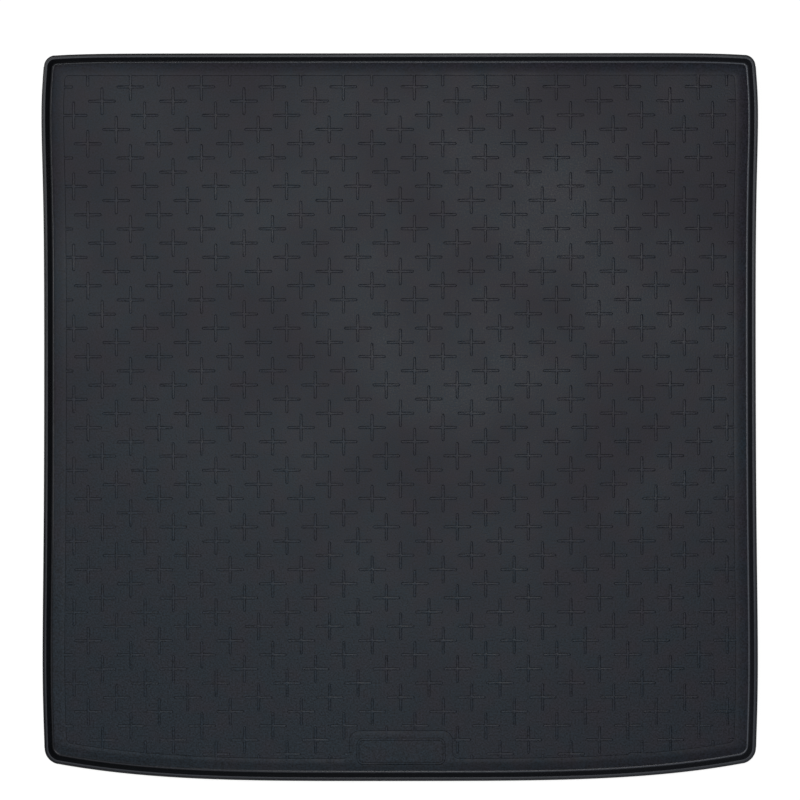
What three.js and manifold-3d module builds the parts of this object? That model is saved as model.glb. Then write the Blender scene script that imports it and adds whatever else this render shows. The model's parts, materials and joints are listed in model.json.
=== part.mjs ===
// Car boot liner: one moulded tray of soft black rubber-like sheet. A low rim with an outward lip runs all
// round, the floor has a shallow recessed field of cross ribs, and a bare framed plate sits at the middle
// of the rear edge. Millimetres, +Z up, +X to the right, +Y to the front edge. The origin is the middle of
// the flat underside.
import * as THREE from "three";
import { mergeVertices } from "three/addons/utils/BufferGeometryUtils.js";
import Module from "manifold-3d";

// Outline, measured over the lip
const outerWidth = 996.4; // between the two sides, away from their bulges
const outerDepth = 1019; // from the front edge to the rear edge, at the middle
const frontBow = 4; // the front edge stands this much further out at its middle than at its corners
const frontBowPower = 12; // a high power keeps the bow near the corners
const rearBow = 28;
const rearBowPower = 3.6;
const frontBulge = 3.7; // how far each side swells out behind its front corner
const frontBulgeAt = 85; // from the corner to the top of that swelling
const rearBulge = 2.8;
const rearBulgeAt = 145;
const frontCornerRadius = 16;
const rearCornerRadius = 23;

// Rim
const rimHeight = 20;
const lipWidth = 5.6;
const lipThickness = 3;
const lipOuterRadius = 2.2;
const lipInnerRadius = 0.8;
const wallThickness = 2.5;
const wallLean = 3.3; // the wall leans out by this much between the floor and the top
const footRadius = 3; // fillet between floor and wall
const undersideRadius = 3; // round edge under the wall
const floorCornerRadius = 3; // least plan radius of the floor's own corners

// Floor, field and ribs
const floorThickness = 3;
const marginWidth = 19; // smooth band between the wall's foot and the field
const fieldDepth = 0.7; // how far the field lies below the margin
const fieldFrontBow = 0; // the field's front edge is straight, so the margin narrows near the front corners
const fieldFrontRadius = 5;
const fieldRearRadius = 7;
const crossPitch = 20; // step of the square lattice on which the crosses stand
const crossCentreX = 0.6; // one cross stands at this X and Y
const crossCentreY = 5.2;
const crossArm = 19.2; // from a cross's middle to the tip of an arm
const crossWidth = 3.2; // across an arm where it leaves the middle
const crossHeight = 0.65;
const crossRoot = 0.3; // how deep a cross is rooted in the floor

// Plate at the middle of the rear edge, with the level bay that carries it
const plateCentreX = 1;
const plateWidth = 124.5;
const plateDepth = 37.4;
const plateRadius = 9;
const plateFrameWidth = 2.7;
const plateFrameHeight = 0.4;
const plateFrameRoot = 0.5; // how deep the frame is rooted in the floor
const plateRearGap = 11; // from the wall's foot to the frame
const bayBorder = 10; // level border around the frame, inside the field
const bayRadius = 14;
const bayFlareRadius = 10; // hollow fillets where the bay runs out into the margin

// Smoothness of the faceted surfaces
const cornerSteps = 4;
const filletSteps = 3;
const edgeRoundSteps = 2;
const frontSteps = 5;
const sideSteps = 10;
const rearSteps = 7;

const halfWidth = outerWidth / 2;
const halfDepth = outerDepth / 2;
const footInset = lipWidth + wallLean;
const fieldInset = footInset + marginWidth;
const fieldLevel = floorThickness - fieldDepth;

const manifold = await Module();
manifold.setup();

const at = (x, y) => new THREE.Vector2(x, y);

// Swelling of a side at a distance from a corner: nothing at the corner, most at the peak, then dying away.
function swelling(height, peakAt, distance) {
  const share = Math.max(distance, 0) / peakAt;
  return height * (share * Math.exp(1 - share)) ** 2;
}

// Half width at y of the line that runs inset from the lip's outer edge.
function sideX(y, inset) {
  const fromFront = halfDepth - frontBow - y;
  const fromRear = halfDepth - rearBow + y;
  const frontSwell = swelling(frontBulge, frontBulgeAt, fromFront);
  const rearSwell = swelling(rearBulge, rearBulgeAt, fromRear);
  return halfWidth + frontSwell + rearSwell - inset;
}

// Distance from the X axis to a bowed edge at x. The bow falls away from the middle as a power of x, and
// the inset is measured square to the curve.
function bowedReach(x, inset, bow, power) {
  const share = Math.abs(x) / halfWidth;
  const slope = (bow * power * share ** (power - 1)) / halfWidth;
  return halfDepth - bow * share ** power - inset * Math.hypot(1, slope);
}

const frontY = (x, inset, bow) => bowedReach(x, inset, bow, frontBowPower);
const rearY = (x, inset) => -bowedReach(x, inset, rearBow, rearBowPower);

// The point where the right side meets the front or the rear edge, closed in on in a few passes.
function cornerPoint(edgeY, inset) {
  const corner = at(halfWidth - inset, 0);
  for (let pass = 0; pass < 5; pass += 1) {
    corner.y = edgeY(corner.x);
    corner.x = sideX(corner.y, inset);
  }
  return corner;
}

// Points of an arc that rounds a corner, from the edge that leaves it along `first` to the one along
// `second`.
function roundedCorner(corner, first, second, radius, steps) {
  const a = first.clone().normalize();
  const b = second.clone().normalize();
  const half = a.angleTo(b) / 2;
  const start = corner.clone().addScaledVector(a, radius / Math.tan(half));
  const halving = a.clone().add(b).normalize();
  const centre = corner.clone().addScaledVector(halving, radius / Math.sin(half));
  const turn = -Math.sign(a.cross(b)) * (Math.PI - 2 * half);
  const pointAt = (_, k) => start.clone().rotateAround(centre, (turn * k) / steps);
  return Array.from({ length: steps + 1 }, pointAt);
}

// The closed outline that runs inset from the lip's outer edge, clockwise from the middle of the front
// edge. The right half is worked out and mirrored. Points crowd towards the corners, where the edges curve
// most. The front edge may have a bow of its own.
function outline(inset, frontRadius, rearRadius, bow = frontBow) {
  const frontEdge = (x) => frontY(x, inset, bow);
  const rearEdge = (x) => rearY(x, inset);
  const front = cornerPoint(frontEdge, inset);
  const rear = cornerPoint(rearEdge, inset);
  const frontArc = roundedCorner(
    front,
    at(-1, frontEdge(front.x - 1) - front.y),
    at(sideX(front.y - 1, inset) - front.x, -1),
    frontRadius,
    cornerSteps,
  );
  const rearArc = roundedCorner(
    rear,
    at(sideX(rear.y + 1, inset) - rear.x, 1),
    at(-1, rearEdge(rear.x - 1) - rear.y),
    rearRadius,
    cornerSteps,
  );
  const right = [];
  for (let k = 0; k < frontSteps; k += 1) {
    const x = frontArc[0].x * Math.sin((Math.PI / 2) * (k / frontSteps));
    right.push(at(x, frontEdge(x)));
  }
  right.push(...frontArc);
  const sideStart = frontArc[cornerSteps].y;
  const sideEnd = rearArc[0].y;
  for (let k = 1; k < sideSteps; k += 1) {
    const share = (1 - Math.cos(Math.PI * (k / sideSteps))) / 2;
    const y = sideStart + (sideEnd - sideStart) * share;
    right.push(at(sideX(y, inset), y));
  }
  right.push(...rearArc);
  for (let k = 1; k <= rearSteps; k += 1) {
    const x = rearArc[cornerSteps].x * Math.cos((Math.PI / 2) * (k / rearSteps));
    right.push(at(k === rearSteps ? 0 : x, rearEdge(x)));
  }
  const left = right.slice(1, -1).map((p) => at(-p.x, p.y));
  return [...right, ...left.reverse()];
}

// The rim's section as (inset, z): floor, foot fillet, wall, lip, back of the wall, underside.
function rimSection() {
  const wallRise = rimHeight - floorThickness;
  const upWall = at(-wallLean, wallRise);
  const leanAt = (z) => (wallLean * (z - floorThickness)) / wallRise;
  const backInset = (z) => footInset - wallThickness - leanAt(z);
  const lipUnderside = rimHeight - lipThickness;
  return [
    ...roundedCorner(at(footInset, floorThickness), at(1, 0), upWall, footRadius, filletSteps),
    ...roundedCorner(at(lipWidth, rimHeight), upWall.clone().negate(), at(-1, 0), lipInnerRadius, 1),
    ...roundedCorner(at(0, rimHeight), at(1, 0), at(0, -1), lipOuterRadius, edgeRoundSteps),
    at(0, lipUnderside),
    at(backInset(lipUnderside), lipUnderside),
    ...roundedCorner(at(backInset(0), 0), upWall, at(1, 0), undersideRadius, edgeRoundSteps),
  ];
}

// A solid from a closed mesh with shared vertices.
function solidOf(positions, triangles) {
  return new manifold.Manifold(
    new manifold.Mesh({
      numProp: 3,
      vertProperties: new Float32Array(positions),
      triVerts: new Uint32Array(triangles),
    }),
  );
}

// The tray without its field: the rim's section is carried round the outline, and floor and underside are
// closed by fans from their middles.
function tray() {
  const section = rimSection();
  const rings = section.map(({ x: inset, y: z }) => {
    const frontRadius = Math.max(frontCornerRadius - inset, floorCornerRadius);
    const rearRadius = Math.max(rearCornerRadius - inset, floorCornerRadius);
    return outline(inset, frontRadius, rearRadius).map((p) => [p.x, p.y, z]);
  });
  const count = rings[0].length;
  const positions = rings.flat(2);
  const floorMiddle = rings.length * count;
  positions.push(0, 0, section[0].y);
  positions.push(0, 0, section[section.length - 1].y);
  const lastRing = (rings.length - 1) * count;
  const triangles = [];
  for (let k = 0; k < count; k += 1) {
    const next = (k + 1) % count;
    triangles.push(floorMiddle, next, k);
    triangles.push(floorMiddle + 1, lastRing + k, lastRing + next);
    for (let ring = 0; ring < lastRing; ring += count) {
      triangles.push(ring + k, ring + next, ring + count + k);
      triangles.push(ring + next, ring + count + next, ring + count + k);
    }
  }
  return solidOf(positions, triangles);
}

// A clockwise outline, with or without a hole in it, made into an upright solid between two heights.
function upright(points, low, high, hole) {
  const shape = new THREE.Shape(points);
  if (hole) shape.holes.push(new THREE.Path([...hole].reverse()));
  const geometry = new THREE.ExtrudeGeometry(shape, { depth: high - low, bevelEnabled: false });
  geometry.translate(0, 0, low);
  geometry.deleteAttribute("normal");
  geometry.deleteAttribute("uv");
  const merged = mergeVertices(geometry);
  return solidOf(merged.attributes.position.array, merged.index.array);
}

// Points of a rectangle with round corners, about its middle.
function roundedRectangle(centre, width, depth, radius) {
  const half = at(width / 2, depth / 2);
  const quarters = [at(1, 1), at(1, -1), at(-1, -1), at(-1, 1)];
  return quarters.flatMap((sign, k) => {
    const corner = centre.clone().add(half.clone().multiply(sign));
    const alongWidth = at(-sign.x, 0);
    const alongDepth = at(0, -sign.y);
    const legs = k % 2 === 0 ? [alongWidth, alongDepth] : [alongDepth, alongWidth];
    return roundedCorner(corner, ...legs, radius, filletSteps);
  });
}

const plateRearY = rearY(plateCentreX, footInset) + plateRearGap;
const plateCentre = at(plateCentreX, plateRearY + plateDepth / 2);

// The level bay around the plate: its front corners are round, and at the rear it flares out into the
// margin.
function bay() {
  const side = plateWidth / 2 + bayBorder;
  const front = plateRearY + plateDepth + bayBorder;
  const border = rearY(plateCentreX, fieldInset);
  const inMargin = border - marginWidth / 2;
  const right = [
    ...roundedCorner(at(side, front), at(-1, 0), at(0, -1), bayRadius, cornerSteps),
    ...roundedCorner(at(side, border - 1), at(0, 1), at(1, 0), bayFlareRadius, cornerSteps),
    at(side + bayFlareRadius, inMargin),
  ];
  const left = right.map((p) => at(-p.x, p.y)).reverse();
  const points = [...right, ...left].map((p) => p.add(at(plateCentreX, 0)));
  return upright(points, 0, rimHeight);
}

// The space that the field leaves above its floor, up to the margin and beyond, with the bay left standing.
function fieldSpace() {
  const border = outline(fieldInset, fieldFrontRadius, fieldRearRadius, fieldFrontBow);
  return upright(border, fieldLevel, rimHeight).subtract(bay());
}

// One cross in four points and a peak. It is drawn from below the floor, so that it has its true size
// there.
function addCross(centre, positions, triangles) {
  const first = positions.length / 3;
  const spread = (crossHeight + crossRoot) / crossHeight;
  const tip = crossArm * spread;
  const throat = (crossWidth / 2) * spread;
  const corners = 8;
  for (let k = 0; k < corners; k += 1) {
    const angle = (2 * Math.PI * k) / corners;
    const reach = k % 2 === 0 ? tip : throat * Math.SQRT2;
    const x = centre.x + reach * Math.cos(angle);
    const y = centre.y + reach * Math.sin(angle);
    positions.push(x, y, fieldLevel - crossRoot);
  }
  positions.push(centre.x, centre.y, fieldLevel + crossHeight);
  positions.push(centre.x, centre.y, fieldLevel - 2 * crossRoot);
  const peak = first + corners;
  for (let k = 0; k < corners; k += 1) {
    const a = first + k;
    const b = first + ((k + 1) % corners);
    triangles.push(a, b, peak);
    triangles.push(b, a, peak + 1);
  }
}

// Every cross of the field, cut off where it runs out into the margin. One lattice point in five holds a
// cross, and the next crosses lie two steps along and one step across.
function crosses() {
  const reach = at(halfWidth - fieldInset + crossArm, halfDepth - fieldInset + crossArm);
  const columns = Math.ceil(reach.x / crossPitch);
  const rows = Math.ceil((reach.y + Math.abs(crossCentreY)) / crossPitch);
  const positions = [];
  const triangles = [];
  for (let column = -columns; column <= columns; column += 1) {
    for (let row = -rows; row <= rows; row += 1) {
      const centre = at(crossCentreX + column * crossPitch, crossCentreY + row * crossPitch);
      const inField = Math.abs(centre.x) < reach.x && Math.abs(centre.y) < reach.y;
      if (inField && (2 * column + row) % 5 === 0) addCross(centre, positions, triangles);
    }
  }
  const underMargin = outline(footInset + footRadius, fieldFrontRadius, fieldRearRadius);
  return solidOf(positions, triangles).intersect(upright(underMargin, 0, rimHeight));
}

function plateFrame() {
  const outer = roundedRectangle(plateCentre, plateWidth, plateDepth, plateRadius);
  const innerWidth = plateWidth - 2 * plateFrameWidth;
  const innerDepth = plateDepth - 2 * plateFrameWidth;
  const inner = roundedRectangle(plateCentre, innerWidth, innerDepth, plateRadius - plateFrameWidth);
  return upright(outer, floorThickness - plateFrameRoot, floorThickness + plateFrameHeight, inner);
}

// The solid's faces as a geometry for drawing.
function geometryOf(solid) {
  const mesh = solid.getMesh();
  const geometry = new THREE.BufferGeometry();
  geometry.setAttribute("position", new THREE.BufferAttribute(mesh.vertProperties, mesh.numProp));
  geometry.setIndex(new THREE.BufferAttribute(mesh.triVerts, 1));
  geometry.computeVertexNormals();
  return geometry;
}

const softBlack = new THREE.MeshStandardMaterial({ color: 0x32353a, roughness: 0.7, metalness: 0 });

const solid = tray().subtract(fieldSpace()).add(crosses()).add(plateFrame());
const liner = new THREE.Mesh(geometryOf(solid), softBlack);
liner.name = "boot_liner";

const part = new THREE.Group();
part.add(liner);

export default part;
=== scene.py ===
"""Looks of a car boot liner: one moulded tray of soft black sheet, with a lipped rim and cross ribs.

Lengths are millimetres, as on a drawing, and become metres where a mesh or the camera is made. The finish and
the lamps are given in metres. +X is the liner's right, +Y its front edge and +Z up, and the origin is the
middle of its flat underside.
"""

import json
import logging
import math
from dataclasses import dataclass, field, replace
from enum import Enum

import bmesh
import bpy
import numpy as np
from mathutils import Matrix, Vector
from mathutils.geometry import delaunay_2d_cdt

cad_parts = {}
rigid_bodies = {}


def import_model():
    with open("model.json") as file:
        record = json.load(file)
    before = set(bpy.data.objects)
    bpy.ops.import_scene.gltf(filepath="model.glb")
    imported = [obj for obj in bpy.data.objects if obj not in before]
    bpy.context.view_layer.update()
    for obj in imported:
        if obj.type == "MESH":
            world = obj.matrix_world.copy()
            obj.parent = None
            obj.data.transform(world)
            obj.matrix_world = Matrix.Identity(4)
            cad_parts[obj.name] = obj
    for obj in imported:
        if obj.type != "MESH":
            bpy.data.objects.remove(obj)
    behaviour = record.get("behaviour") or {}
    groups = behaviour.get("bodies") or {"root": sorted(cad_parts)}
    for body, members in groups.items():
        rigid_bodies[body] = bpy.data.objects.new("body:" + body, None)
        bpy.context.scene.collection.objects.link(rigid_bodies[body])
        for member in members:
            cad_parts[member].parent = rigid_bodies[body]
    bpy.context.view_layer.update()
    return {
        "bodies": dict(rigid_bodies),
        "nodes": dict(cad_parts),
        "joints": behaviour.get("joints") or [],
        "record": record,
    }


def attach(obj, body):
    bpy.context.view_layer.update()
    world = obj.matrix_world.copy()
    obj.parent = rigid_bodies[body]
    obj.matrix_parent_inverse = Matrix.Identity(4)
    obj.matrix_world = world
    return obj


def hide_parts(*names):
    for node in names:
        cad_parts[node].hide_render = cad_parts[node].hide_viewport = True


MM = 0.001
NODE = "boot_liner"
# Points of a mesh that are closer than this, in metres, become one.
MERGE_WITHIN = 1e-6
# Edges at which a surface turns by more than this stay sharp.
SHARP_DEGREES = 42

# Names of the numbers that are written at the points of the mesh, each from nought to one.
# crease marks where shade is painted, and foot, lip and rib_top where a highlight is painted.
CREASE = "crease"
RIB_TOP = "rib_top"
NEAR_WALL = "near_wall"
RIM = "rim"
FOOT = "foot"
LIP = "lip"

log = logging.getLogger("boot_liner")


class Side(Enum):
    """The two bowed edges of the outline, as the sign of their Y."""

    FRONT = 1
    REAR = -1


def unit(vector: np.ndarray) -> np.ndarray:
    """Return the vector at length one."""
    return vector / np.linalg.norm(vector)


def rounded_corner(
    corner: np.ndarray, first: np.ndarray, second: np.ndarray, radius: float, steps: int
) -> np.ndarray:
    """Round a corner with an arc that touches both of its edges.

    The arc's centre lies on the line that halves the corner's angle, one radius over the sine of the half
    angle away, and the arc turns by what the two edges leave of half a circle.

    Args:
        corner: The corner's place.
        first: Direction of the first edge, leaving the corner.
        second: Direction of the second edge, leaving the corner.
        radius: Radius of the arc.
        steps: Number of chords.

    Returns:
        Points from the first edge to the second, of shape (steps + 1, 2).
    """
    a, b = unit(first), unit(second)
    half = math.acos(float(np.clip(a @ b, -1, 1))) / 2
    centre = corner + unit(a + b) * radius / math.sin(half)
    spoke = corner + a * radius / math.tan(half) - centre
    turn = -np.sign(a[0] * b[1] - a[1] * b[0]) * (math.pi - 2 * half)
    angles = np.linspace(0, turn, steps + 1)
    across = np.array([-spoke[1], spoke[0]])
    return centre + np.cos(angles)[:, None] * spoke + np.sin(angles)[:, None] * across


def round_box(over_x: np.ndarray, over_y: np.ndarray, radius: float) -> np.ndarray:
    """Measure the signed distance to a straight-sided shape whose corner is rounded.

    Outside the corner's square the distance is the larger overhang, and inside it the distance to the arc's
    centre less the radius.

    Args:
        over_x: How far each point lies beyond the one side.
        over_y: How far each point lies beyond the other side.
        radius: Radius of the corner.

    Returns:
        The distances, below zero inside the shape.
    """
    past_x, past_y = over_x + radius, over_y + radius
    outside = np.hypot(np.maximum(past_x, 0), np.maximum(past_y, 0))
    return outside + np.minimum(np.maximum(past_x, past_y), 0) - radius


@dataclass(frozen=True)
class StepSide:
    """Section of the side on which a margin, a rib or a frame drops to the surface beside it.

    The side is lowest half way out, in a shallow groove, and rises again to the surface.

    Attributes:
        run: Width of the side in plan.
        groove: Depth of the groove under the surface.
    """

    run: float = 0.8
    groove: float = 0.2

    @property
    def lines(self) -> np.ndarray:
        """Return how far out the side's upper edge, the bottom of its groove and its lower edge lie."""
        return np.array([0, 0.5, 1]) * self.run

    def height(self, beyond: np.ndarray, step: float) -> np.ndarray:
        """Work out heights over the lower surface.

        Args:
            beyond: Distances from the edge of the raised top, below zero on it.
            step: Height of the raised top.

        Returns:
            The heights.
        """
        return np.interp(beyond, self.lines, [step, -self.groove, 0])

    def crease(self, beyond: np.ndarray) -> np.ndarray:
        """Return nought on the flat surfaces and one along the groove, where the finish paints shade."""
        return np.interp(beyond, self.lines, [0, 1, 0])


@dataclass(frozen=True)
class Outline:
    """Plan of the liner, from which every line that runs round it is drawn inset.

    Attributes:
        width: Over the lip, away from the bulges of the sides.
        depth: Over the lip, at the middle.
        bows: How far each bowed edge stands out at its middle, and the power of X with which it falls back.
        bulges: How far a side swells out near each corner, and how far from the corner it swells most.
        corner_steps: Chords of each corner's arc.
        bowed_steps: Points from the middle of a bowed edge to its corner.
        side_steps: Points along a side.
        passes: How often the search for a corner closes in.
    """

    width: float = 996.0
    depth: float = 1019
    bows: dict[Side, tuple[float, float]] = field(
        default_factory=lambda: {Side.FRONT: (4, 12), Side.REAR: (28, 3.6)}
    )
    bulges: dict[Side, tuple[float, float]] = field(
        default_factory=lambda: {Side.FRONT: (3.7, 85), Side.REAR: (2.8, 145)}
    )
    corner_steps: int = 12
    bowed_steps: int = 36
    side_steps: int = 84
    passes: int = 6

    def swelling(self, y: np.ndarray, side: Side) -> np.ndarray:
        """Swell a side near one of its corners.

        With s the distance from the corner over the distance of the peak, the swelling is its height times
        the square of s times e to the power one less s: nothing at the corner, most at the peak, and then
        dying away.

        Args:
            y: Places along the side.
            side: The edge whose corner is meant.

        Returns:
            How far the side stands out.
        """
        height, peak_at = self.bulges[side]
        corner_y = self.depth / 2 - self.bows[side][0]
        share = np.maximum(corner_y - side.value * y, 0) / peak_at
        return height * (share * np.exp(1 - share)) ** 2

    def side_x(self, y: np.ndarray) -> np.ndarray:
        """Return the half width over the lip at each y."""
        swell = self.swelling(y, Side.FRONT) + self.swelling(y, Side.REAR)
        return self.width / 2 + swell

    def bowed(self, x: np.ndarray, side: Side) -> tuple[np.ndarray, np.ndarray]:
        """Follow a bowed edge, which falls back from its middle as a power of X.

        Args:
            x: Places along the edge.
            side: Which edge.

        Returns:
            The edge's distance from the X axis, and how much longer than a level line it is there.
        """
        bow, power = self.bows[side]
        share = np.abs(x) / (self.width / 2)
        slope = bow * power * share ** (power - 1) / (self.width / 2)
        return self.depth / 2 - bow * share**power, np.hypot(1, slope)

    def edge_y(self, x: np.ndarray, side: Side, inset: float) -> np.ndarray:
        """Return the Y of the line that runs inset from a bowed edge, measured square to it."""
        reach, stretch = self.bowed(x, side)
        return side.value * (reach - inset * stretch)

    def corner(self, side: Side, inset: float) -> np.ndarray:
        """Close in on the point where the right side meets a bowed edge, both drawn inset.

        Args:
            side: The bowed edge.
            inset: Distance of both lines from the lip's outer edge.

        Returns:
            The point.
        """
        point = np.array([self.width / 2 - inset, 0.0])
        for _ in range(self.passes):
            point[1] = self.edge_y(point[0], side, inset)
            point[0] = self.side_x(point[1]) - inset
        return point

    def corner_arc(self, side: Side, inset: float, radius: float) -> np.ndarray:
        """Round one right-hand corner of an inset line.

        Args:
            side: The bowed edge at the corner.
            inset: Distance of the line from the lip's outer edge.
            radius: Radius of the corner.

        Returns:
            Points from the bowed edge to the side.
        """
        point = self.corner(side, inset)
        inward = np.array([-1.0, self.edge_y(point[0] - 1, side, inset) - point[1]])
        y = point[1] - side.value
        along = np.array([self.side_x(y) - inset - point[0], -side.value])
        return rounded_corner(point, inward, along, radius, self.corner_steps)

    def loop(self, inset: float, front_radius: float, rear_radius: float) -> np.ndarray:
        """Draw a closed line inset from the lip, clockwise from the middle of the front edge.

        The right half is worked out and mirrored. Along a bowed edge x goes as a sine and along a side y goes
        as a cosine, so the points crowd towards the corners.

        Args:
            inset: Distance from the lip's outer edge.
            front_radius: Radius of the two front corners.
            rear_radius: Radius of the two rear corners.

        Returns:
            Points of shape (n, 2), with the same n for every inset.
        """
        front = self.corner_arc(Side.FRONT, inset, front_radius)
        rear = self.corner_arc(Side.REAR, inset, rear_radius)[::-1]
        quarter = np.linspace(0, math.pi / 2, self.bowed_steps + 1)[:-1]
        front_x = front[0, 0] * np.sin(quarter)
        rear_x = rear[-1, 0] * np.sin(quarter[::-1])
        half_turn = np.linspace(0, math.pi, self.side_steps + 1)[1:-1]
        start, end = front[-1, 1], rear[0, 1]
        side_y = start + (end - start) * (1 - np.cos(half_turn)) / 2
        right = np.vstack(
            (
                np.column_stack((front_x, self.edge_y(front_x, Side.FRONT, inset))),
                front,
                np.column_stack((self.side_x(side_y) - inset, side_y)),
                rear,
                np.column_stack((rear_x, self.edge_y(rear_x, Side.REAR, inset))),
            )
        )
        left = right[1:-1][::-1] * np.array([-1.0, 1.0])
        return np.vstack((right, left))

    def inside_by(self, points: np.ndarray, inset: float, radii: dict[Side, float]) -> np.ndarray:
        """Measure how far points lie inside the line that runs inset from the lip.

        Args:
            points: Plan points of shape (n, 2).
            inset: Distance of the line from the lip's outer edge.
            radii: Radius of the line's corners at each bowed edge.

        Returns:
            The distances, above zero inside.
        """
        x, y = points[:, 0], points[:, 1]
        over_side = np.abs(x) - self.side_x(y) + inset
        nearest = []
        for side, radius in radii.items():
            reach, stretch = self.bowed(x, side)
            over_edge = (side.value * y - reach) / stretch + inset
            nearest.append(-round_box(over_side, over_edge, radius))
        return np.minimum(*nearest)


@dataclass(frozen=True)
class RimSection:
    """Section of the rim: foot fillet, leaning wall, outward lip and the wall's back.

    Attributes:
        height: Of the lip over the boot floor.
        lip_width: From the wall's inner face to the lip's outer edge.
        lip_thickness: Of the lip at its outer edge.
        outer_radius: Of the lip's outer edge.
        inner_radius: Of the edge between the wall and the lip.
        hem_radius: Of the lip's lower edge.
        wall: Thickness of the wall.
        lean: How far the wall leans out between the floor and the top.
        foot_radius: Of the fillet between floor and wall.
        underside_radius: Of the edge under the wall.
        floor: Height of the floor beside the wall.
        front_corner: Plan radius of the lip's front corners.
        rear_corner: Plan radius of the lip's rear corners.
        least_corner: Least plan radius of the floor's corners.
        foot_steps: Chords of the fillet between floor and wall.
        inner_steps: Chords of the edge between wall and lip.
        outer_steps: Chords of the lip's outer edge.
        hem_steps: Chords of the lip's lower edge.
        underside_steps: Chords of the edge under the wall.
        painted_highlight: Shares of the foot fillet at which its band of painted highlight starts, is
            strongest and ends.
        lip_edge: How strongly the lip counts as lip at its outer edge.
    """

    height: float = 20
    lip_width: float = 5.6
    lip_thickness: float = 3
    outer_radius: float = 2.2
    inner_radius: float = 0.8
    hem_radius: float = 0.5
    wall: float = 2.5
    lean: float = 3.3
    foot_radius: float = 3
    underside_radius: float = 3
    floor: float = 3
    front_corner: float = 16
    rear_corner: float = 23
    least_corner: float = 3
    foot_steps: int = 8
    inner_steps: int = 4
    outer_steps: int = 6
    hem_steps: int = 2
    underside_steps: int = 5
    painted_highlight: tuple[float, float, float] = (0.1, 0.4, 0.8)
    lip_edge: float = 0.12

    @property
    def foot_inset(self) -> float:
        """Return the distance of the wall's foot from the lip's outer edge."""
        return self.lip_width + self.lean

    def points(self) -> np.ndarray:
        """Draw the section from the floor over the lip to the underside.

        Returns:
            Points as (inset, height).
        """
        rise = self.height - self.floor
        up_wall = np.array([-self.lean, rise])
        out, in_, down = np.array([-1.0, 0.0]), np.array([1.0, 0.0]), np.array([0.0, -1.0])

        def back(z: float) -> np.ndarray:
            """Return the point of the wall's back at a height."""
            return np.array([self.foot_inset - self.wall - self.lean * (z - self.floor) / rise, z])

        hem_z = self.height - self.lip_thickness
        foot = np.array([self.foot_inset, self.floor])
        lip_in = np.array([self.lip_width, self.height])
        lip_out = np.array([0.0, self.height])
        return np.vstack(
            (
                rounded_corner(foot, in_, up_wall, self.foot_radius, self.foot_steps),
                rounded_corner(lip_in, -up_wall, out, self.inner_radius, self.inner_steps),
                rounded_corner(lip_out, in_, down, self.outer_radius, self.outer_steps),
                rounded_corner(np.array([0.0, hem_z]), -down, in_, self.hem_radius, self.hem_steps),
                rounded_corner(back(hem_z), out, -up_wall, self.hem_radius, self.hem_steps),
                rounded_corner(back(0), up_wall, in_, self.underside_radius, self.underside_steps),
            )
        )

    def on_foot(self, ring: np.ndarray) -> np.ndarray:
        """Return one along the foot fillet's band of painted highlight and nought away from it, by number of
        ring.
        """
        return np.interp(ring, np.array(self.painted_highlight) * self.foot_steps, [0, 1, 0])

    def on_lip(self, ring: np.ndarray) -> np.ndarray:
        """Tell how far each ring belongs to the polished lip, whose inner edge also gets a painted highlight.

        Args:
            ring: Numbers of the section's points, from the floor outwards.

        Returns:
            One at the lip's inner edge, less towards its outer edge, and nought on the wall and its back.
        """
        inner = self.foot_steps + 1
        outer = inner + self.inner_steps + 1
        stops = [inner, inner + self.inner_steps, outer, outer + self.outer_steps]
        return np.interp(ring, stops, [0, 1, self.lip_edge, 0])

    def rings(self, outline: Outline) -> np.ndarray:
        """Carry the section round the outline.

        Args:
            outline: The plan that the section follows.

        Returns:
            Points of shape (section points, points round, 3). A ring's corners are the lip's less its inset.
        """
        rings = []
        for inset, z in self.points():
            front_radius = max(self.front_corner - inset, self.least_corner)
            rear_radius = max(self.rear_corner - inset, self.least_corner)
            line = outline.loop(inset, front_radius, rear_radius)
            rings.append(np.column_stack((line, np.full(len(line), z))))
        return np.stack(rings)


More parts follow.
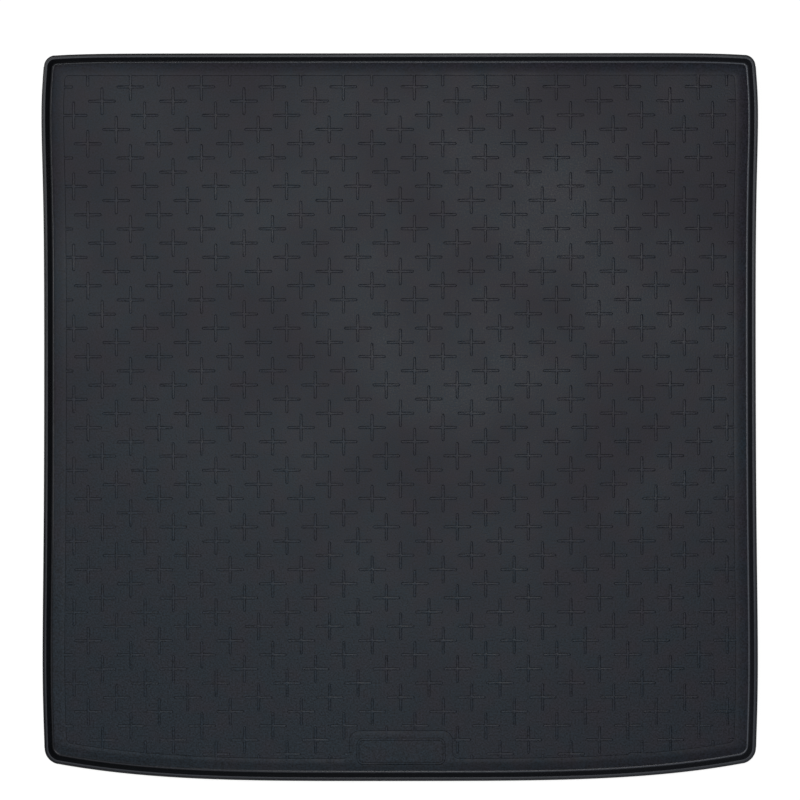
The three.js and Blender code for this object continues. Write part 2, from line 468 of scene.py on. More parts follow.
@dataclass(frozen=True)
class CrossRibs:
    """The field's cross ribs, on a square lattice of which one point in five holds a cross.

    Attributes:
        pitch: Step of the lattice.
        centre: Place of the cross nearest the middle.
        arm: From a cross's middle to the groove round the tip of an arm.
        width: Of a bar, from groove to groove.
        hollow: Size of the small chamfers between two arms.
        end_steps: Chords of a bar's round end.
    """

    pitch: float = 20
    centre: tuple[float, float] = (0.6, 5.2)
    arm: float = 19.2
    width: float = 3.4
    hollow: float = 0.5
    end_steps: int = 4

    @property
    def spine(self) -> float:
        """Return the distance from the middle to the centre of a bar's round end."""
        return self.arm - self.width / 2

    def steps(self) -> tuple[np.ndarray, np.ndarray]:
        """Return the steps from a cross to its next neighbours: two lattice steps along and one across."""
        return self.pitch * np.array([1.0, -2.0]), self.pitch * np.array([2.0, 1.0])

    def to_nearest(self, points: np.ndarray) -> np.ndarray:
        """Move points to the frame of their nearest cross.

        The two steps between neighbours are square to each other, so a point's place along each step is its
        product with the step over the step's square, and rounding both gives the nearest cross.

        Args:
            points: Plan points of shape (n, 2).

        Returns:
            The points relative to their nearest cross.
        """
        local = points - np.array(self.centre)
        first, second = self.steps()
        along = np.round(local @ first / (first @ first))
        across = np.round(local @ second / (second @ second))
        return local - along[:, None] * first - across[:, None] * second

    def from_spine(self, points: np.ndarray) -> np.ndarray:
        """Measure how far points are from the middle lines of their nearest cross.

        A bar's middle line ends at the centres of its round ends. The nearer of the two bars counts.

        Args:
            points: Plan points of shape (n, 2).

        Returns:
            The distances.
        """
        size = np.abs(self.to_nearest(points))
        bar_x = np.hypot(np.maximum(size[:, 0] - self.spine, 0), size[:, 1])
        bar_y = np.hypot(size[:, 0], np.maximum(size[:, 1] - self.spine, 0))
        return np.minimum(bar_x, bar_y)

    def contour(self, half: float) -> np.ndarray:
        """Draw a line round a cross, clockwise.

        One quarter is a round end and a hollow corner, and it is turned four times.

        Args:
            half: Distance of the line from the middle lines of the bars.

        Returns:
            The line's points about the cross's middle.
        """
        angles = np.linspace(math.pi / 2, -math.pi / 2, self.end_steps + 1)
        end = np.column_stack((self.spine + half * np.cos(angles), half * np.sin(angles)))
        hollow = np.array([[half + self.hollow, -half], [half, -half - self.hollow]])
        quarters = [np.vstack((end, hollow))]
        quarter_turn = np.array([[0.0, -1.0], [1.0, 0.0]])
        for _ in range(3):
            quarters.append(quarters[-1] @ quarter_turn)
        return np.vstack(quarters)

    def centres(self, half_x: float, half_y: float) -> np.ndarray:
        """List the crosses within a rectangle about the origin.

        The lattice point i steps to the right and j to the front holds a cross where 2 i + j divides by five.

        Args:
            half_x: Half the rectangle's width.
            half_y: Half its depth.

        Returns:
            The centres, of shape (n, 2).
        """
        columns = int(half_x // self.pitch)
        rows = int((half_y + abs(self.centre[1])) // self.pitch)
        i, j = np.meshgrid(np.arange(-columns, columns + 1), np.arange(-rows, rows + 1))
        taken = (2 * i + j) % 5 == 0
        places = np.column_stack((i[taken], j[taken])) * self.pitch + np.array(self.centre)
        return places[np.abs(places[:, 1]) <= half_y]


@dataclass(frozen=True)
class Plate:
    """The bare framed plate in its level bay at the middle of the rear edge.

    Attributes:
        centre_x: Of the plate.
        width: From groove to groove, outside the frame.
        depth: From groove to groove, outside the frame.
        radius: Of the frame's outer corners.
        frame: Width of the frame, from groove to groove.
        frame_height: Of the frame above the bay.
        rear_gap: From the wall's foot to the frame.
        border: Level border of the bay around the frame.
        bay_radius: Of the bay's front corners.
        flare: Radius with which the bay runs out into the margin.
        frame_steps: Chords of each corner of the frame.
        bay_steps: Chords of each corner of the bay.
    """

    centre_x: float = 1
    width: float = 124.5
    depth: float = 37.4
    radius: float = 9
    frame: float = 3.2
    frame_height: float = 0.3
    rear_gap: float = 11
    border: float = 10
    bay_radius: float = 14
    flare: float = 10
    frame_steps: int = 6
    bay_steps: int = 10

    def rectangle(self, centre: np.ndarray, grow: float) -> np.ndarray:
        """Draw the middle line of the frame, grown on every side, clockwise.

        Args:
            centre: The plate's middle.
            grow: Distance from the frame's middle line, outwards.

        Returns:
            The line's points.
        """
        inset = self.frame / 2 - grow
        half = np.array([self.width / 2, self.depth / 2]) - inset
        radius = self.radius - inset
        arcs = []
        for turn, sign in enumerate(np.array([(1, 1), (1, -1), (-1, -1), (-1, 1)])):
            legs = [np.array([-sign[0], 0.0]), np.array([0.0, -sign[1]])]
            first, second = legs if turn % 2 == 0 else legs[::-1]
            arcs.append(rounded_corner(centre + sign * half, first, second, radius, self.frame_steps))
        return np.vstack(arcs)

    def from_frame(self, points: np.ndarray, centre: np.ndarray) -> np.ndarray:
        """Measure how far points are from the frame's middle line."""
        over = np.abs(points - centre) - np.array([self.width / 2, self.depth / 2]) + self.frame / 2
        return np.abs(round_box(over[:, 0], over[:, 1], self.radius - self.frame / 2))


@dataclass
class PlanMesh:
    """A plan of points and lines that grows by polylines and is then filled with triangles."""

    points: list[np.ndarray] = field(default_factory=list)
    edges: list[np.ndarray] = field(default_factory=list)
    count: int = 0

    def add_loops(self, loops: np.ndarray) -> None:
        """Add closed lines.

        Args:
            loops: Points of shape (lines, points on a line, 2).
        """
        lines, size = loops.shape[:2]
        first = np.arange(lines * size)
        following = np.roll(first.reshape(lines, size), -1, axis=1).reshape(-1)
        self.points.append(loops.reshape(-1, 2))
        self.edges.append(np.column_stack((first, following)) + self.count)
        self.count += lines * size

    def without(self, hidden: np.ndarray) -> "PlanMesh":
        """Leave out the lines with both ends hidden, and the points that no line then uses.

        Args:
            hidden: A truth value for each point.

        Returns:
            The smaller plan.
        """
        points, edges = np.vstack(self.points), np.vstack(self.edges)
        edges = edges[~(hidden[edges[:, 0]] & hidden[edges[:, 1]])]
        used, renumbered = np.unique(edges, return_inverse=True)
        return PlanMesh([points[used]], [renumbered.reshape(-1, 2)], len(used))

    def joined(self, other: "PlanMesh") -> "PlanMesh":
        """Return this plan with another one added after it."""
        shifted = [edges + self.count for edges in other.edges]
        return PlanMesh(self.points + other.points, self.edges + shifted, self.count + other.count)

    def triangles(self) -> tuple[np.ndarray, np.ndarray]:
        """Fill the plan with triangles that keep all its lines as edges.

        Returns:
            The points, among them those where lines cross, and the triangles.
        """
        points, edges = np.vstack(self.points), np.vstack(self.edges)
        inside_lines = 1
        same_within = 1e-5
        places = [Vector(point) for point in points.tolist()]
        filled = delaunay_2d_cdt(places, edges.tolist(), [], inside_lines, same_within)
        return np.array([(p.x, p.y) for p in filled[0]]), np.array(filled[2])


@dataclass(frozen=True)
class Liner:
    """The whole moulded liner.

    Attributes:
        outline: Its plan.
        rim: The section of its rim.
        side: The section of the sides of margin, ribs and plate frame.
        crosses: The ribs of its field.
        plate: The plate at its rear edge.
        margin: Width of the smooth band between the wall's foot and the field.
        field_depth: How far the field lies below the margin.
        field_radii: Radius of the field's corners at the front and the rear.
        margin_lines: Shares of the margin's width at which a line of points runs round it.
        soft_crease: How strong the painted shade and dullness of the creases of border and ribs are, where
            the plate frame's are one.
    """

    outline: Outline = field(default_factory=Outline)
    rim: RimSection = field(default_factory=RimSection)
    side: StepSide = field(default_factory=StepSide)
    crosses: CrossRibs = field(default_factory=CrossRibs)
    plate: Plate = field(default_factory=Plate)
    margin: float = 19
    field_depth: float = 0.7
    margin_lines: tuple[float, ...] = (0.3, 0.45, 0.6)
    soft_crease: float = 0.55
    field_radii: dict[Side, float] = field(
        default_factory=lambda: {Side.FRONT: 5.0, Side.REAR: 7.0}
    )

    @property
    def field_outline(self) -> Outline:
        """Return the outline that the field's border follows, whose front edge is straight."""
        straight = (0.0, self.outline.bows[Side.FRONT][1])
        return replace(self.outline, bows={**self.outline.bows, Side.FRONT: straight})

    @property
    def field_inset(self) -> float:
        """Return the distance of the field's border from the lip's outer edge."""
        return self.rim.foot_inset + self.margin

    @property
    def plate_centre(self) -> np.ndarray:
        """Return the middle of the plate."""
        foot_y = self.outline.edge_y(self.plate.centre_x, Side.REAR, self.rim.foot_inset)
        return np.array([self.plate.centre_x, foot_y + self.plate.rear_gap + self.plate.depth / 2])

    @property
    def bay_half(self) -> float:
        """Return half the width of the bay."""
        return self.plate.width / 2 + self.plate.border

    @property
    def bay_front(self) -> float:
        """Return the Y of the bay's front edge."""
        return self.plate_centre[1] + self.plate.depth / 2 + self.plate.border

    def into_field(self, points: np.ndarray) -> np.ndarray:
        """Measure how far points lie in the field, from the edge of the margin and of the bay.

        The two distances are joined with a hollow fillet: where both are less than the flare, the result is
        the flare less the length of what each of them lacks to it.

        Args:
            points: Plan points of shape (n, 2).

        Returns:
            The distances, below zero on the margin and the bay.
        """
        border = self.field_outline.inside_by(points, self.field_inset, self.field_radii)
        over_x = np.abs(points[:, 0] - self.plate.centre_x) - self.bay_half
        over_y = points[:, 1] - self.bay_front
        bay = round_box(over_x, over_y, self.plate.bay_radius)
        flare = self.plate.flare
        lacking = np.hypot(np.maximum(flare - border, 0), np.maximum(flare - bay, 0))
        return np.maximum(flare, np.minimum(border, bay)) - lacking

    def half_top(self, width: float) -> float:
        """Return half the width of the flat top of a bar, given its width from groove to groove."""
        return (width - self.side.run) / 2

    def beyond_edges(self, points: np.ndarray) -> tuple[np.ndarray, np.ndarray]:
        """Measure how far points are beyond what stands up from the floor.

        Args:
            points: Plan points of shape (n, 2).

        Returns:
            The distances from the nearest edge of margin, bay and crosses, and from the top of the frame.
        """
        cross = self.crosses.from_spine(points) - self.half_top(self.crosses.width)
        frame = self.plate.from_frame(points, self.plate_centre) - self.half_top(self.plate.frame)
        return np.minimum(self.into_field(points), cross), frame

    def on_ribs(self, points: np.ndarray) -> np.ndarray:
        """Tell how far points are on top of a rib.

        Args:
            points: Plan points of shape (n, 2).

        Returns:
            One on the tops, nought along the grooves beside them and on the margin.
        """
        beyond = self.crosses.from_spine(points) - self.half_top(self.crosses.width)
        top = np.interp(beyond, self.side.lines[:2], [1, 0])
        return np.where(self.into_field(points) > self.side.run, top, 0)

    def near_wall(self, points: np.ndarray) -> np.ndarray:
        """Tell how near points are to the wall's foot.

        Args:
            points: Plan points of shape (n, 2).

        Returns:
            One at the foot, falling evenly to nought over the margin's width.
        """
        radii = {side: self.rim.least_corner for side in Side}
        from_foot = self.outline.inside_by(points, self.rim.foot_inset, radii)
        return np.clip(1 - from_foot / self.margin, 0, 1)

    def heights(self, points: np.ndarray) -> np.ndarray:
        """Work out the height of the floor: the field, and margin, bay, crosses and plate frame upon it.

        Args:
            points: Plan points of shape (n, 2).

        Returns:
            Their heights.
        """
        raised, frame = self.beyond_edges(points)
        field_level = self.rim.floor - self.field_depth
        rise = self.side.height(raised, self.field_depth)
        return field_level + rise + self.side.height(frame, self.plate.frame_height)

    def border_line(self) -> np.ndarray:
        """Draw the field's border with the bay let into its rear edge.

        Returns:
            The line's points, clockwise.
        """
        radii = self.field_radii
        line = self.field_outline.loop(self.field_inset, radii[Side.FRONT], radii[Side.REAR])
        across = np.abs(line[:, 0] - self.plate.centre_x)
        in_bay = (line[:, 1] < 0) & (across < self.bay_half + self.plate.flare)
        first = int(np.argmax(in_bay))
        corner = np.array([self.bay_half, self.bay_front])
        border_y = self.outline.edge_y(self.plate.centre_x, Side.REAR, self.field_inset)
        foot = np.array([self.bay_half, border_y])
        left, up, down, right = np.array([[-1.0, 0], [0, 1], [0, -1], [1, 0]])
        flare = rounded_corner(foot, right, up, self.plate.flare, self.plate.bay_steps)
        arc = rounded_corner(corner, down, left, self.plate.bay_radius, self.plate.bay_steps)
        half = np.vstack((flare, arc))
        bay = np.vstack((half, half[::-1] * np.array([-1.0, 1.0])))
        bay = bay + np.array([self.plate.centre_x, 0.0])
        rest = line[~in_bay]
        return np.vstack((rest[:first], bay, rest[first:]))

    def pulled_to(self, line: np.ndarray, level: float) -> np.ndarray:
        """Pull the points of a rough line onto the line where the way into the field has a given value.

        Each pass moves a point against the slope of that distance by what is missing.

        Args:
            line: Points near the wanted line.
            level: The wanted distance into the field.

        Returns:
            The points on the line.
        """
        points = line.copy()
        step, passes, least_square = 0.01, 12, 0.25
        for _ in range(passes):
            here = self.into_field(points)
            ahead_x = self.into_field(points + np.array([step, 0.0])) - here
            ahead_y = self.into_field(points + np.array([0.0, step])) - here
            slope = np.column_stack((ahead_x, ahead_y)) / step
            steep = np.maximum((slope**2).sum(axis=1), least_square)
            points = points - slope * ((here - level) / steep)[:, None]
        return points

    def floor_plan(self, edge: np.ndarray) -> PlanMesh:
        """Collect every line of the floor: its edge, the field's border, the plate's frame and the crosses.

        Args:
            edge: The closed line where the floor meets the wall's fillet.

        Returns:
            The plan, without the lines of crosses that lie hidden under the margin or the bay.
        """
        plan = PlanMesh()
        plan.add_loops(edge[None])
        radius = self.rim.least_corner
        for share in self.margin_lines:
            inset = self.rim.foot_inset + share * self.margin
            plan.add_loops(self.outline.loop(inset, radius, radius)[None])
        levels = self.side.lines
        border = self.border_line()
        plan.add_loops(np.stack([self.pulled_to(border, level) for level in levels]))
        frame = self.half_top(self.plate.frame) + levels
        for offset in (*frame, *-frame):
            plan.add_loops(self.plate.rectangle(self.plate_centre, offset)[None])
        ribs = PlanMesh()
        half_x = self.outline.width / 2 - self.field_inset + self.crosses.arm
        half_y = self.outline.depth / 2 - self.field_inset + self.crosses.arm
        centres = self.crosses.centres(half_x, half_y)
        for level in levels:
            contour = self.crosses.contour(self.half_top(self.crosses.width) + level)
            ribs.add_loops(centres[:, None] + contour[None])
        hidden = self.into_field(np.vstack(ribs.points)) < 0
        return plan.joined(ribs.without(hidden))

    def build(self) -> bpy.types.Object:
        """Build the liner as one closed mesh.

        The rim is its section carried round the outline. The floor fills the rim's first ring and the
        underside its last, and both share the rim's points.

        Returns:
            The liner's object.
        """
        rings = self.rim.rings(self.outline)
        section, around = rings.shape[:2]
        plan, floor = self.floor_plan(rings[0, :, :2]).triangles()
        floor_points = np.column_stack((plan, self.heights(plan)))
        rim_points = rings.reshape(-1, 3)
        middle = len(rim_points) + len(floor_points)
        points = np.vstack((rim_points, floor_points, np.zeros((1, 3)))) * MM
        ring = np.arange(around)
        last = (section - 1) * around
        fan = np.column_stack((last + ring, last + np.roll(ring, -1), np.full(around, middle)))
        quads = ring_quads(section, around)
        faces = quads.tolist() + (floor + len(rim_points)).tolist() + fan.tolist()
        mesh = bpy.data.meshes.new("moulded_tray")
        mesh.from_pydata(points.tolist(), [], faces)
        self.write_marks(mesh, np.repeat(np.arange(section), around), plan)
        return closed_object(mesh)

    def write_marks(self, mesh: bpy.types.Mesh, ring: np.ndarray, plan: np.ndarray) -> None:
        """Write what the finish needs to know at the mesh's points.

        Args:
            mesh: The mesh, whose first points are the rim's and whose next points are the floor's.
            ring: Number of the section's point for each point of the rim.
            plan: The floor's points.
        """
        on_rim = slice(len(ring))
        on_floor = slice(len(ring), len(ring) + len(plan))
        raised, frame = self.beyond_edges(plan)
        # The crease marks carry painted shade along the grooves of border, ribs and frame.
        soft = self.soft_crease * self.side.crease(raised)
        write_attribute(mesh, CREASE, on_floor, np.maximum(soft, self.side.crease(frame)))
        # The rib tops get a faint painted highlight.
        write_attribute(mesh, RIB_TOP, on_floor, self.on_ribs(plan))
        at_wall = np.append(np.where(ring == 0, 1, 0), self.near_wall(plan))
        write_attribute(mesh, NEAR_WALL, slice(on_floor.stop), at_wall)
        write_attribute(mesh, RIM, on_rim, np.minimum(ring, 1))
        # The foot band gets a painted highlight.
        write_attribute(mesh, FOOT, on_rim, self.rim.on_foot(ring))
        # The lip's inner edge gets a painted highlight besides its polish.
        write_attribute(mesh, LIP, on_rim, self.rim.on_lip(ring))


def ring_quads(rings: int, around: int) -> np.ndarray:
    """Join closed rings of points with four-sided faces.

    Args:
        rings: Number of rings.
        around: Points on each ring.

    Returns:
        Point numbers of shape ((rings - 1) * around, 4), in which the points count on from ring to ring.
    """
    here = np.arange(around)
    following = np.roll(here, -1)
    start = (np.arange(rings - 1) * around)[:, None]
    next_start = start + around
    quads = np.stack((start + here, start + following, next_start + following, next_start + here), -1)
    return quads.reshape(-1, 4)


def write_attribute(mesh: bpy.types.Mesh, name: str, where: slice, values: np.ndarray) -> None:
    """Write a number at each point of a mesh.

    Args:
        mesh: The mesh.
        name: Name of the attribute.
        where: The points that the values are for; the others get nought.
        values: One value for each of those points.
    """
    whole = np.zeros(len(mesh.vertices), np.float32)
    whole[where] = values
    mesh.attributes.new(name, "FLOAT", "POINT").data.foreach_set("value", whole)


def closed_object(mesh: bpy.types.Mesh) -> bpy.types.Object:
    """Merge a mesh's doubled points, turn its faces outwards, and put it into the scene as a smooth object.

    Args:
        mesh: The mesh, in metres.

    Returns:
        Its object, at the origin.
    """
    work = bmesh.new()
    work.from_mesh(mesh)
    bmesh.ops.remove_doubles(work, verts=work.verts, dist=MERGE_WITHIN)
    bmesh.ops.recalc_face_normals(work, faces=work.faces)
    open_edges = sum(1 for edge in work.edges if not edge.is_manifold)
    work.to_mesh(mesh)
    work.free()
    log.info("%s: %d faces, %d open edges", mesh.name, len(mesh.polygons), open_edges)
    mesh.shade_smooth()
    mesh.set_sharp_from_angle(angle=math.radians(SHARP_DEGREES))
    piece = bpy.data.objects.new(mesh.name, mesh)
    bpy.context.scene.collection.objects.link(piece)
    piece.modifiers.new("level_faces", "WEIGHTED_NORMAL").mode = "FACE_AREA"
    return piece


class Value:
    """A node's output as a number in an expression: each operator adds the Math node that it names."""

    def __init__(self, graph: "Graph", socket: bpy.types.NodeSocket) -> None:
        """Keep the graph and the output."""
        self.graph = graph
        self.socket = socket

    def _math(self, operation: str, first: "Value | float", second: "Value | float") -> "Value":
        """Add one Math node."""
        node = self.graph.node("ShaderNodeMath", {"operation": operation}, {0: first, 1: second})
        return Value(self.graph, node.outputs[0])

    def __add__(self, other: "Value | float") -> "Value":
        """Add."""
        return self._math("ADD", self, other)

    def __radd__(self, other: float) -> "Value":
        """Add to a number."""
        return self._math("ADD", other, self)

    def __sub__(self, other: "Value | float") -> "Value":
        """Subtract."""
        return self._math("SUBTRACT", self, other)

    def __rsub__(self, other: float) -> "Value":
        """Subtract from a number."""
        return self._math("SUBTRACT", other, self)

    def __mul__(self, other: "Value | float") -> "Value":
        """Multiply."""
        return self._math("MULTIPLY", self, other)

    def __rmul__(self, other: float) -> "Value":
        """Multiply a number."""
        return self._math("MULTIPLY", other, self)


class Graph:
    """The nodes of one material."""

    def __init__(self, name: str) -> None:
        """Start a material with no nodes.

        Args:
            name: The material's name.
        """
        self.material = bpy.data.materials.new(name)
        self.material.use_nodes = True
        self.tree = self.material.node_tree
        self.tree.nodes.clear()

    def node(
        self,
        kind: str,
        settings: dict[str, object] | None = None,
        inputs: dict[int | str, object] | None = None,
    ) -> bpy.types.Node:
        """Add a node.

        Args:
            kind: The node's type.
            settings: Its own settings, set before its sockets.
            inputs: A value, a Value or an output for each named or numbered socket.

        Returns:
            The node.
        """
        node = self.tree.nodes.new(kind)
        for name, setting in (settings or {}).items():
            setattr(node, name, setting)
        for key, given in (inputs or {}).items():
            socket = node.inputs[key]
            source = given.socket if isinstance(given, Value) else given
            if isinstance(source, bpy.types.NodeSocket):
                self.tree.links.new(source, socket)
            else:
                socket.default_value = source
        return node

    def noise(self, scale: float, detail: float) -> Value:
        """Read a noise across the piece's own frame.

        Args:
            scale: Lumps of the noise per metre.
            detail: Finer layers of the noise.

        Returns:
            The noise, about a half on average.
        """
        place = self.node("ShaderNodeTexCoord").outputs["Object"]
        inputs = {"Vector": place, "Scale": scale, "Detail": detail}
        return Value(self, self.node("ShaderNodeTexNoise", None, inputs).outputs[0])

    def attribute(self, name: str) -> Value:
        """Read a number that is written at the mesh's points."""
        node = self.node("ShaderNodeAttribute", {"attribute_name": name})
        return Value(self, node.outputs["Fac"])

    def place(self, axis: str) -> Value:
        """Read the place along an axis of the piece's own frame, in metres."""
        place = self.node("ShaderNodeTexCoord").outputs["Object"]
        return Value(self, self.node("ShaderNodeSeparateXYZ", None, {0: place}).outputs[axis])

    def between(self, share: Value, low: float, high: float) -> Value:
        """Bring the range from low to high to nought to one, and hold what lies outside at its ends."""
        inputs = {"Value": share, "From Min": low, "From Max": high}
        return Value(self, self.node("ShaderNodeMapRange", {"clamp": True}, inputs).outputs[0])

    def mix(self, share: Value, first: object, second: object) -> bpy.types.NodeSocket:
        """Mix two colours.

        Args:
            share: Share of the second colour.
            first: The first colour, or an output that gives it.
            second: The second colour, or an output that gives it.

        Returns:
            The mixed colour's output.
        """
        first_colour, second_colour, result = 6, 7, 2
        inputs = {0: share, first_colour: first, second_colour: second}
        return self.node("ShaderNodeMix", {"data_type": "RGBA"}, inputs).outputs[result]

    def bump(
        self, height: Value, depth: float, normal: bpy.types.NodeSocket | None = None
    ) -> bpy.types.NodeSocket:
        """Raise the surface by a height.

        Args:
            height: The height, where one is the whole depth.
            depth: That depth, in metres.
            normal: An output with bumps that lie beneath this one.

        Returns:
            The output with the bumps.
        """
        inputs: dict[int | str, object] = {"Distance": depth, "Height": height}
        if normal is not None:
            inputs["Normal"] = normal
        return self.node("ShaderNodeBump", None, inputs).outputs[0]

    def finish(self, shader: bpy.types.Node) -> bpy.types.Material:
        """Send a shader to the output and return the material."""
        self.node("ShaderNodeOutputMaterial", None, {"Surface": shader.outputs[0]})
        return self.material


Colour = tuple[float, float, float, float]


@dataclass(frozen=True)
class SoftBlack:
    """Finish of the liner: charcoal moulded elastomer with a fine grain and faint cool and warm clouds.

    The floor is grained and matt, and the rim smoother, with little grain. A painted highlight makes the
    lip's inner edge, the foot of the wall and, a little, the tops of the ribs paler, and painted light makes
    the wall paler towards the right. The creases are dark from painted shade and dull, and the margin dips
    and grows duller towards the wall, more at the right and the front.

    Attributes:
        cool: Colour of the bluish clouds of the floor.
        warm: Colour of the more neutral clouds of the floor.
        rim: Colour of wall and lip.
        large_share: Part of the mixing that the large clouds do.
        small_share: Part that the small clouds do.
        drift: How much warmer the floor is for each metre to the right and to the front.
        grain_spread: How far the shade goes over the whole range of the grain.
        rim_grain_loss: Part of the grain that is missing on wall and lip.
        painted_crease_shade: How much of the colour a crease takes away, as painted shade.
        crease_whole: Written strength from which on a crease counts in full.
        rib_highlight_gain: How much paler the tops of the ribs are painted, a faint painted highlight.
        lip_highlight_gain: How much paler the lip's inner edge is painted, a painted highlight.
        foot_highlight_gain: How much paler the band of painted highlight on the fillet at the wall's foot is.
        wall_light_lean: How much paler the wall is painted for each metre to the right, painted light from
            the left.
        grained: Roughness of the grained floor.
        wall_smoother: How much less rough the wall is.
        lip_smoother: How much less rough the lip's inner edge is.
        rib_smoother: How much less rough the tops of the ribs are.
        crease_duller: How much rougher a crease is.
        margin_duller: How much rougher the margin is next to the wall.
        cloud_duller: Spread of the roughness with the large clouds.
        grain_duller: Spread of the roughness with the grain.
        cloud_scale: Large clouds per metre.
        cloud_range: Values of their noise that count as the coolest and the warmest.
        mottle_scale: Small clouds per metre.
        mottle_range: Values of their noise that count as the coolest and the warmest.
        grain_scale: Grains per metre.
        grain_depth: Depth of the grain, in metres.
        sag_scale: Dents and swells of the soft sheet per metre.
        sag_depth: Their depth, in metres.
        fine_detail: Finer layers in the noise of the grain and the small clouds.
        broad_detail: Finer layers in the noise of the large clouds and the dents.
        gutter_depth: How far the margin dips next to the wall, in metres.
        gutter_middle: Share of that dip and dullness on the liner's two middle lines.
        gutter_lean: How much more of it there is for each metre to the right and to the front.
        specular_level: Strength of the plain reflection.
    """

    cool: Colour = (0.0105, 0.0185, 0.0280, 1)
    warm: Colour = (0.0185, 0.0170, 0.0255, 1)
    rim: Colour = (0.0115, 0.0125, 0.0150, 1)
    large_share: float = 0.5
    small_share: float = 0.8
    drift: tuple[float, float] = (0.3, 0.45)
    grain_spread: float = 3.2
    rim_grain_loss: float = 0.85
    painted_crease_shade: float = 0.7
    crease_whole: float = 0.5
    rib_highlight_gain: float = 0.05
    lip_highlight_gain: float = 3.4
    foot_highlight_gain: float = 6
    wall_light_lean: float = 1.0
    grained: float = 0.5
    wall_smoother: float = 0.28
    lip_smoother: float = 0.12
    rib_smoother: float = 0.05
    crease_duller: float = 0.5
    margin_duller: float = 0.35
    cloud_duller: float = 0.1
    grain_duller: float = 0.4
    cloud_scale: float = 5
    cloud_range: tuple[float, float] = (0.35, 0.65)
    mottle_scale: float = 30
    mottle_range: tuple[float, float] = (0.3, 0.7)
    grain_scale: float = 420
    grain_depth: float = 0.0002
    sag_scale: float = 7
    sag_depth: float = 0.0006
    fine_detail: float = 2
    broad_detail: float = 3
    gutter_depth: float = 0.001
    gutter_middle: float = 0.6
    gutter_lean: tuple[float, float] = (0.9, 0.8)
    specular_level: float = 0.28

    def material(self) -> bpy.types.Material:
        """Build the material.

        Returns:
            The material.
        """
        graph = Graph("soft_black_elastomer")
        grain = graph.noise(self.grain_scale, self.fine_detail) - 0.5
        grain = grain * (1 - self.rim_grain_loss * graph.attribute(RIM))
        large = graph.noise(self.cloud_scale, self.broad_detail)
        large = graph.between(large, *self.cloud_range) - 0.5
        small = graph.noise(self.mottle_scale, self.fine_detail)
        small = graph.between(small, *self.mottle_range) - 0.5
        crease = graph.between(graph.attribute(CREASE), 0, self.crease_whole)
        rib_top = graph.attribute(RIB_TOP)
        lean = self.gutter_lean[0] * graph.place("X") + self.gutter_lean[1] * graph.place("Y")
        near_wall = graph.attribute(NEAR_WALL)
        gutter = near_wall * (self.gutter_middle + lean)
        rim = graph.attribute(RIM)
        lip = graph.attribute(LIP)
        drift = self.drift[0] * graph.place("X") + self.drift[1] * graph.place("Y")
        warmth = 0.5 + self.large_share * large + self.small_share * small + drift
        floor = graph.mix(graph.between(warmth, 0, 1), self.cool, self.warm)
        # Painted highlight on rib tops, foot fillet and the lip's inner edge, and painted shade in the
        # creases.
        painted_highlight = 1 + self.rib_highlight_gain * rib_top + self.foot_highlight_gain * graph.attribute(FOOT)
        paler = (1 + self.lip_highlight_gain * lip) * painted_highlight
        # Painted light: the wall is paler towards the right, as if lit from the left.
        paler = paler * (1 + self.wall_light_lean * graph.place("X") * rim * (1 - lip))
        shade = paler * (1 - self.painted_crease_shade * crease) * (1 + self.grain_spread * grain)
        colour = {0: graph.mix(rim, floor, self.rim), "Scale": shade}
        smoother = self.wall_smoother * rim * (1 - lip) + self.lip_smoother * lip
        smoother = smoother + self.rib_smoother * rib_top
        duller = self.crease_duller * crease + self.margin_duller * gutter
        duller = duller + self.cloud_duller * large + self.grain_duller * grain
        sag = graph.noise(self.sag_scale, self.broad_detail)
        sagging = graph.bump(sag, self.sag_depth)
        dipping = graph.bump(0 - near_wall * gutter, self.gutter_depth, sagging)
        inputs = {
            "Base Color": graph.node("ShaderNodeVectorMath", {"operation": "SCALE"}, colour).outputs[0],
            "Roughness": self.grained + duller - smoother,
            "Specular IOR Level": self.specular_level,
            "Normal": graph.bump(grain, self.grain_depth, dipping),
        }
        return graph.finish(graph.node("ShaderNodeBsdfPrincipled", None, inputs))


@dataclass(frozen=True)
class PaleFloor:
    """Finish of the studio floor: white to the camera, with about half of the object's shadow left on it.

    Attributes:
        white: Colour of the floor in the light.
        own_light: Share of the floor's look that is its own glow and holds no shadow.
        glow: Strength of that glow.
    """

    white: Colour = (0.9, 0.9, 0.9, 1)
    own_light: float = 0.5
    glow: float = 1.6

    def material(self) -> bpy.types.Material:
        """Build the material, which glows only for the camera and for what mirrors or lets through.

        Returns:
            The material.
        """
        graph = Graph("studio_floor")
        matt = graph.node("ShaderNodeBsdfDiffuse", None, {"Color": self.white}).outputs[0]
        lit = {"Color": (1, 1, 1, 1), "Strength": self.glow}
        glow = graph.node("ShaderNodeEmission", None, lit).outputs[0]
        path = graph.node("ShaderNodeLightPath")
        seen = Value(graph, path.outputs["Is Camera Ray"]) + Value(graph, path.outputs["Is Glossy Ray"])
        seen = seen + Value(graph, path.outputs["Is Transmission Ray"])
        inputs = {0: seen * self.own_light, 1: matt, 2: glow}
        return graph.finish(graph.node("ShaderNodeMixShader", None, inputs))


@dataclass(frozen=True)
class Lamp:
    """A flat soft lamp that faces the liner.

    Attributes:
        name: The lamp's name.
        place: Its place, in metres.
        size: Its sides, in metres.
        glow: Its brightness, where white paper in the plain light is one.
    """

    name: str
    place: tuple[float, float, float]
    size: tuple[float, float]
    glow: float

    def hang(self) -> None:
        """Put the lamp into the scene."""
        lamp = bpy.data.lights.new(self.name, "AREA")
        lamp.shape = "RECTANGLE"
        lamp.size, lamp.size_y = self.size
        lamp.energy = self.glow * math.pi * self.size[0] * self.size[1]
        holder = bpy.data.objects.new(self.name, lamp)
        holder.location = self.place
        holder.rotation_euler = (-Vector(self.place)).to_track_quat("-Z", "Y").to_euler()
        bpy.context.scene.collection.objects.link(holder)


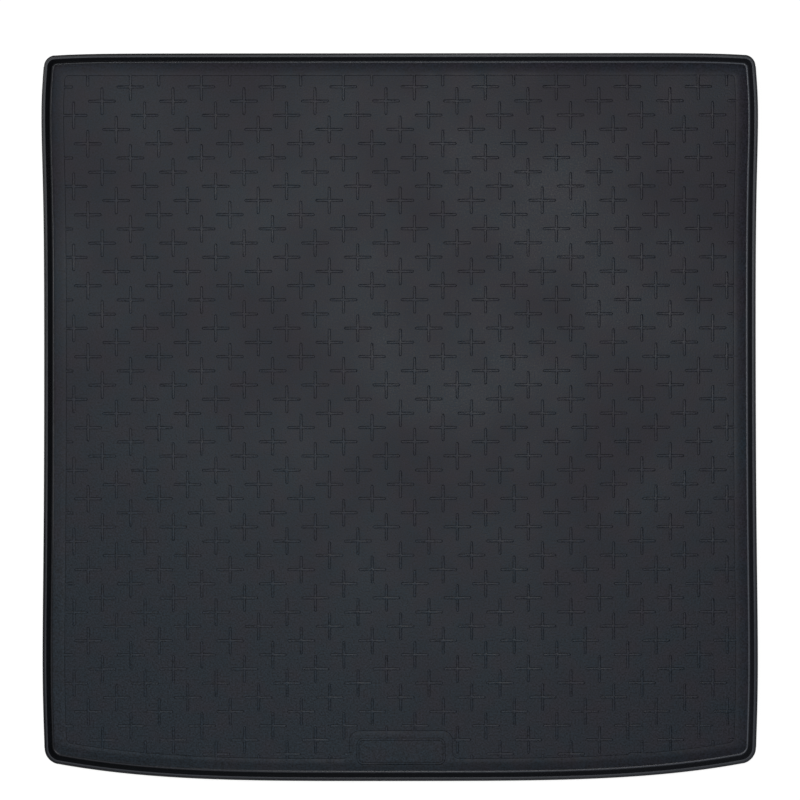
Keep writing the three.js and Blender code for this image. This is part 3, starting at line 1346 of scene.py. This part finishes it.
@dataclass(frozen=True)
class Studio:
    """The pale floor and backdrop, the soft lamps and the camera straight above.

    Attributes:
        camera_height: Of the camera over the boot floor.
        frame_width: Width of the picture at the height of the liner's floor.
        picture_centre_y: Y that the middle of the picture shows.
        roll_degrees: Small turn of the camera about its own axis.
        sensor: Width of the sensor.
        sight: How far the camera sees, in metres.
        floor_radius: Of the round studio floor.
        floor_middle: Radius of the floor's middle face.
        floor_sides: Number of the floor's sides.
        floor_gap: Of air under the liner, so that its underside and the floor stay apart.
        backdrop_height: Of the backdrop that stands round it.
        even_light: Strength of the light that comes evenly from all round.
        lamps: The soft lamps.
    """

    camera_height: float = 2600
    frame_width: float = 1126.4
    picture_centre_y: float = 24
    roll_degrees: float = -0.05
    sensor: float = 36
    sight: float = 50
    floor_radius: float = 20000
    floor_middle: float = 1
    floor_sides: int = 64
    floor_gap: float = 0.2
    backdrop_height: float = 4000
    even_light: float = 0.14
    lamps: tuple[Lamp, ...] = (
        Lamp("top_softbox", (0.25, 0.4, 3.2), (1.2, 1.5), 5.9),
        Lamp("left_softbox", (-1.6, 0.8, 2.8), (1.6, 0.5), 7),
        Lamp("rear_softbox", (-0.4, -2.4, 1.8), (2.0, 0.3), 9),
    )

    def add_floor(self) -> None:
        """Lay the round studio floor under the liner, with a low backdrop round it.

        A floor line and a wall line are turned about the Z axis: each point (r, z) of the profile goes to
        r cos a, r sin a, z.
        """
        angles = np.linspace(0, 2 * math.pi, self.floor_sides + 1)[:-1]
        middle = (self.floor_middle, -self.floor_gap)
        corner = (self.floor_radius, -self.floor_gap)
        top = (self.floor_radius, self.backdrop_height)
        profile = np.array([middle, corner, top]) * MM
        radius, height = profile[:, 0, None], profile[:, 1, None]
        points = np.stack((radius * np.cos(angles), radius * np.sin(angles), height + 0 * angles), -1)
        faces_up = ring_quads(len(profile), self.floor_sides)[:, ::-1]
        faces = [list(range(self.floor_sides)), *faces_up.tolist()]
        mesh = bpy.data.meshes.new("studio_floor")
        mesh.from_pydata(points.reshape(-1, 3).tolist(), [], faces)
        floor = bpy.data.objects.new("studio_floor", mesh)
        bpy.context.scene.collection.objects.link(floor)
        mesh.materials.append(PaleFloor().material())

    def add_lights(self) -> None:
        """Light the liner from above, from high on the left and from lower at the rear, all of it soft."""
        world = bpy.data.worlds.new("studio")
        bpy.context.scene.world = world
        world.use_nodes = True
        background = world.node_tree.nodes["Background"].inputs
        background["Color"].default_value = (1, 1, 1, 1)
        background["Strength"].default_value = self.even_light
        for lamp in self.lamps:
            lamp.hang()

    def add_camera(self) -> None:
        """Set the camera straight above the liner, with the width of view that the picture has."""
        camera = bpy.data.cameras.new("camera")
        camera.sensor_width = self.sensor
        liner_floor = RimSection().floor
        camera.lens = self.sensor * (self.camera_height - liner_floor) / self.frame_width
        camera.clip_end = self.sight
        holder = bpy.data.objects.new("camera", camera)
        holder.location = (0, self.picture_centre_y * MM, self.camera_height * MM)
        holder.rotation_euler = (0, 0, math.radians(self.roll_degrees))
        bpy.context.scene.collection.objects.link(holder)
        bpy.context.scene.camera = holder

    def build(self) -> None:
        """Set up floor, lights and camera."""
        self.add_floor()
        self.add_lights()
        self.add_camera()
        bpy.context.scene.view_settings.view_transform = "Standard"


def main() -> None:
    """Load the frame, build the liner in place of the frame's node, and build the studio."""
    logging.basicConfig(level=logging.INFO, format="%(name)s: %(message)s")
    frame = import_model()
    piece = Liner().build()
    piece.data.materials.append(SoftBlack().material())
    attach(piece, "root")
    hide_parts(NODE)
    log.info("%s rides on root and replaces %s", piece.name, NODE)
    Studio().build()


if __name__ == "__main__":
    main()
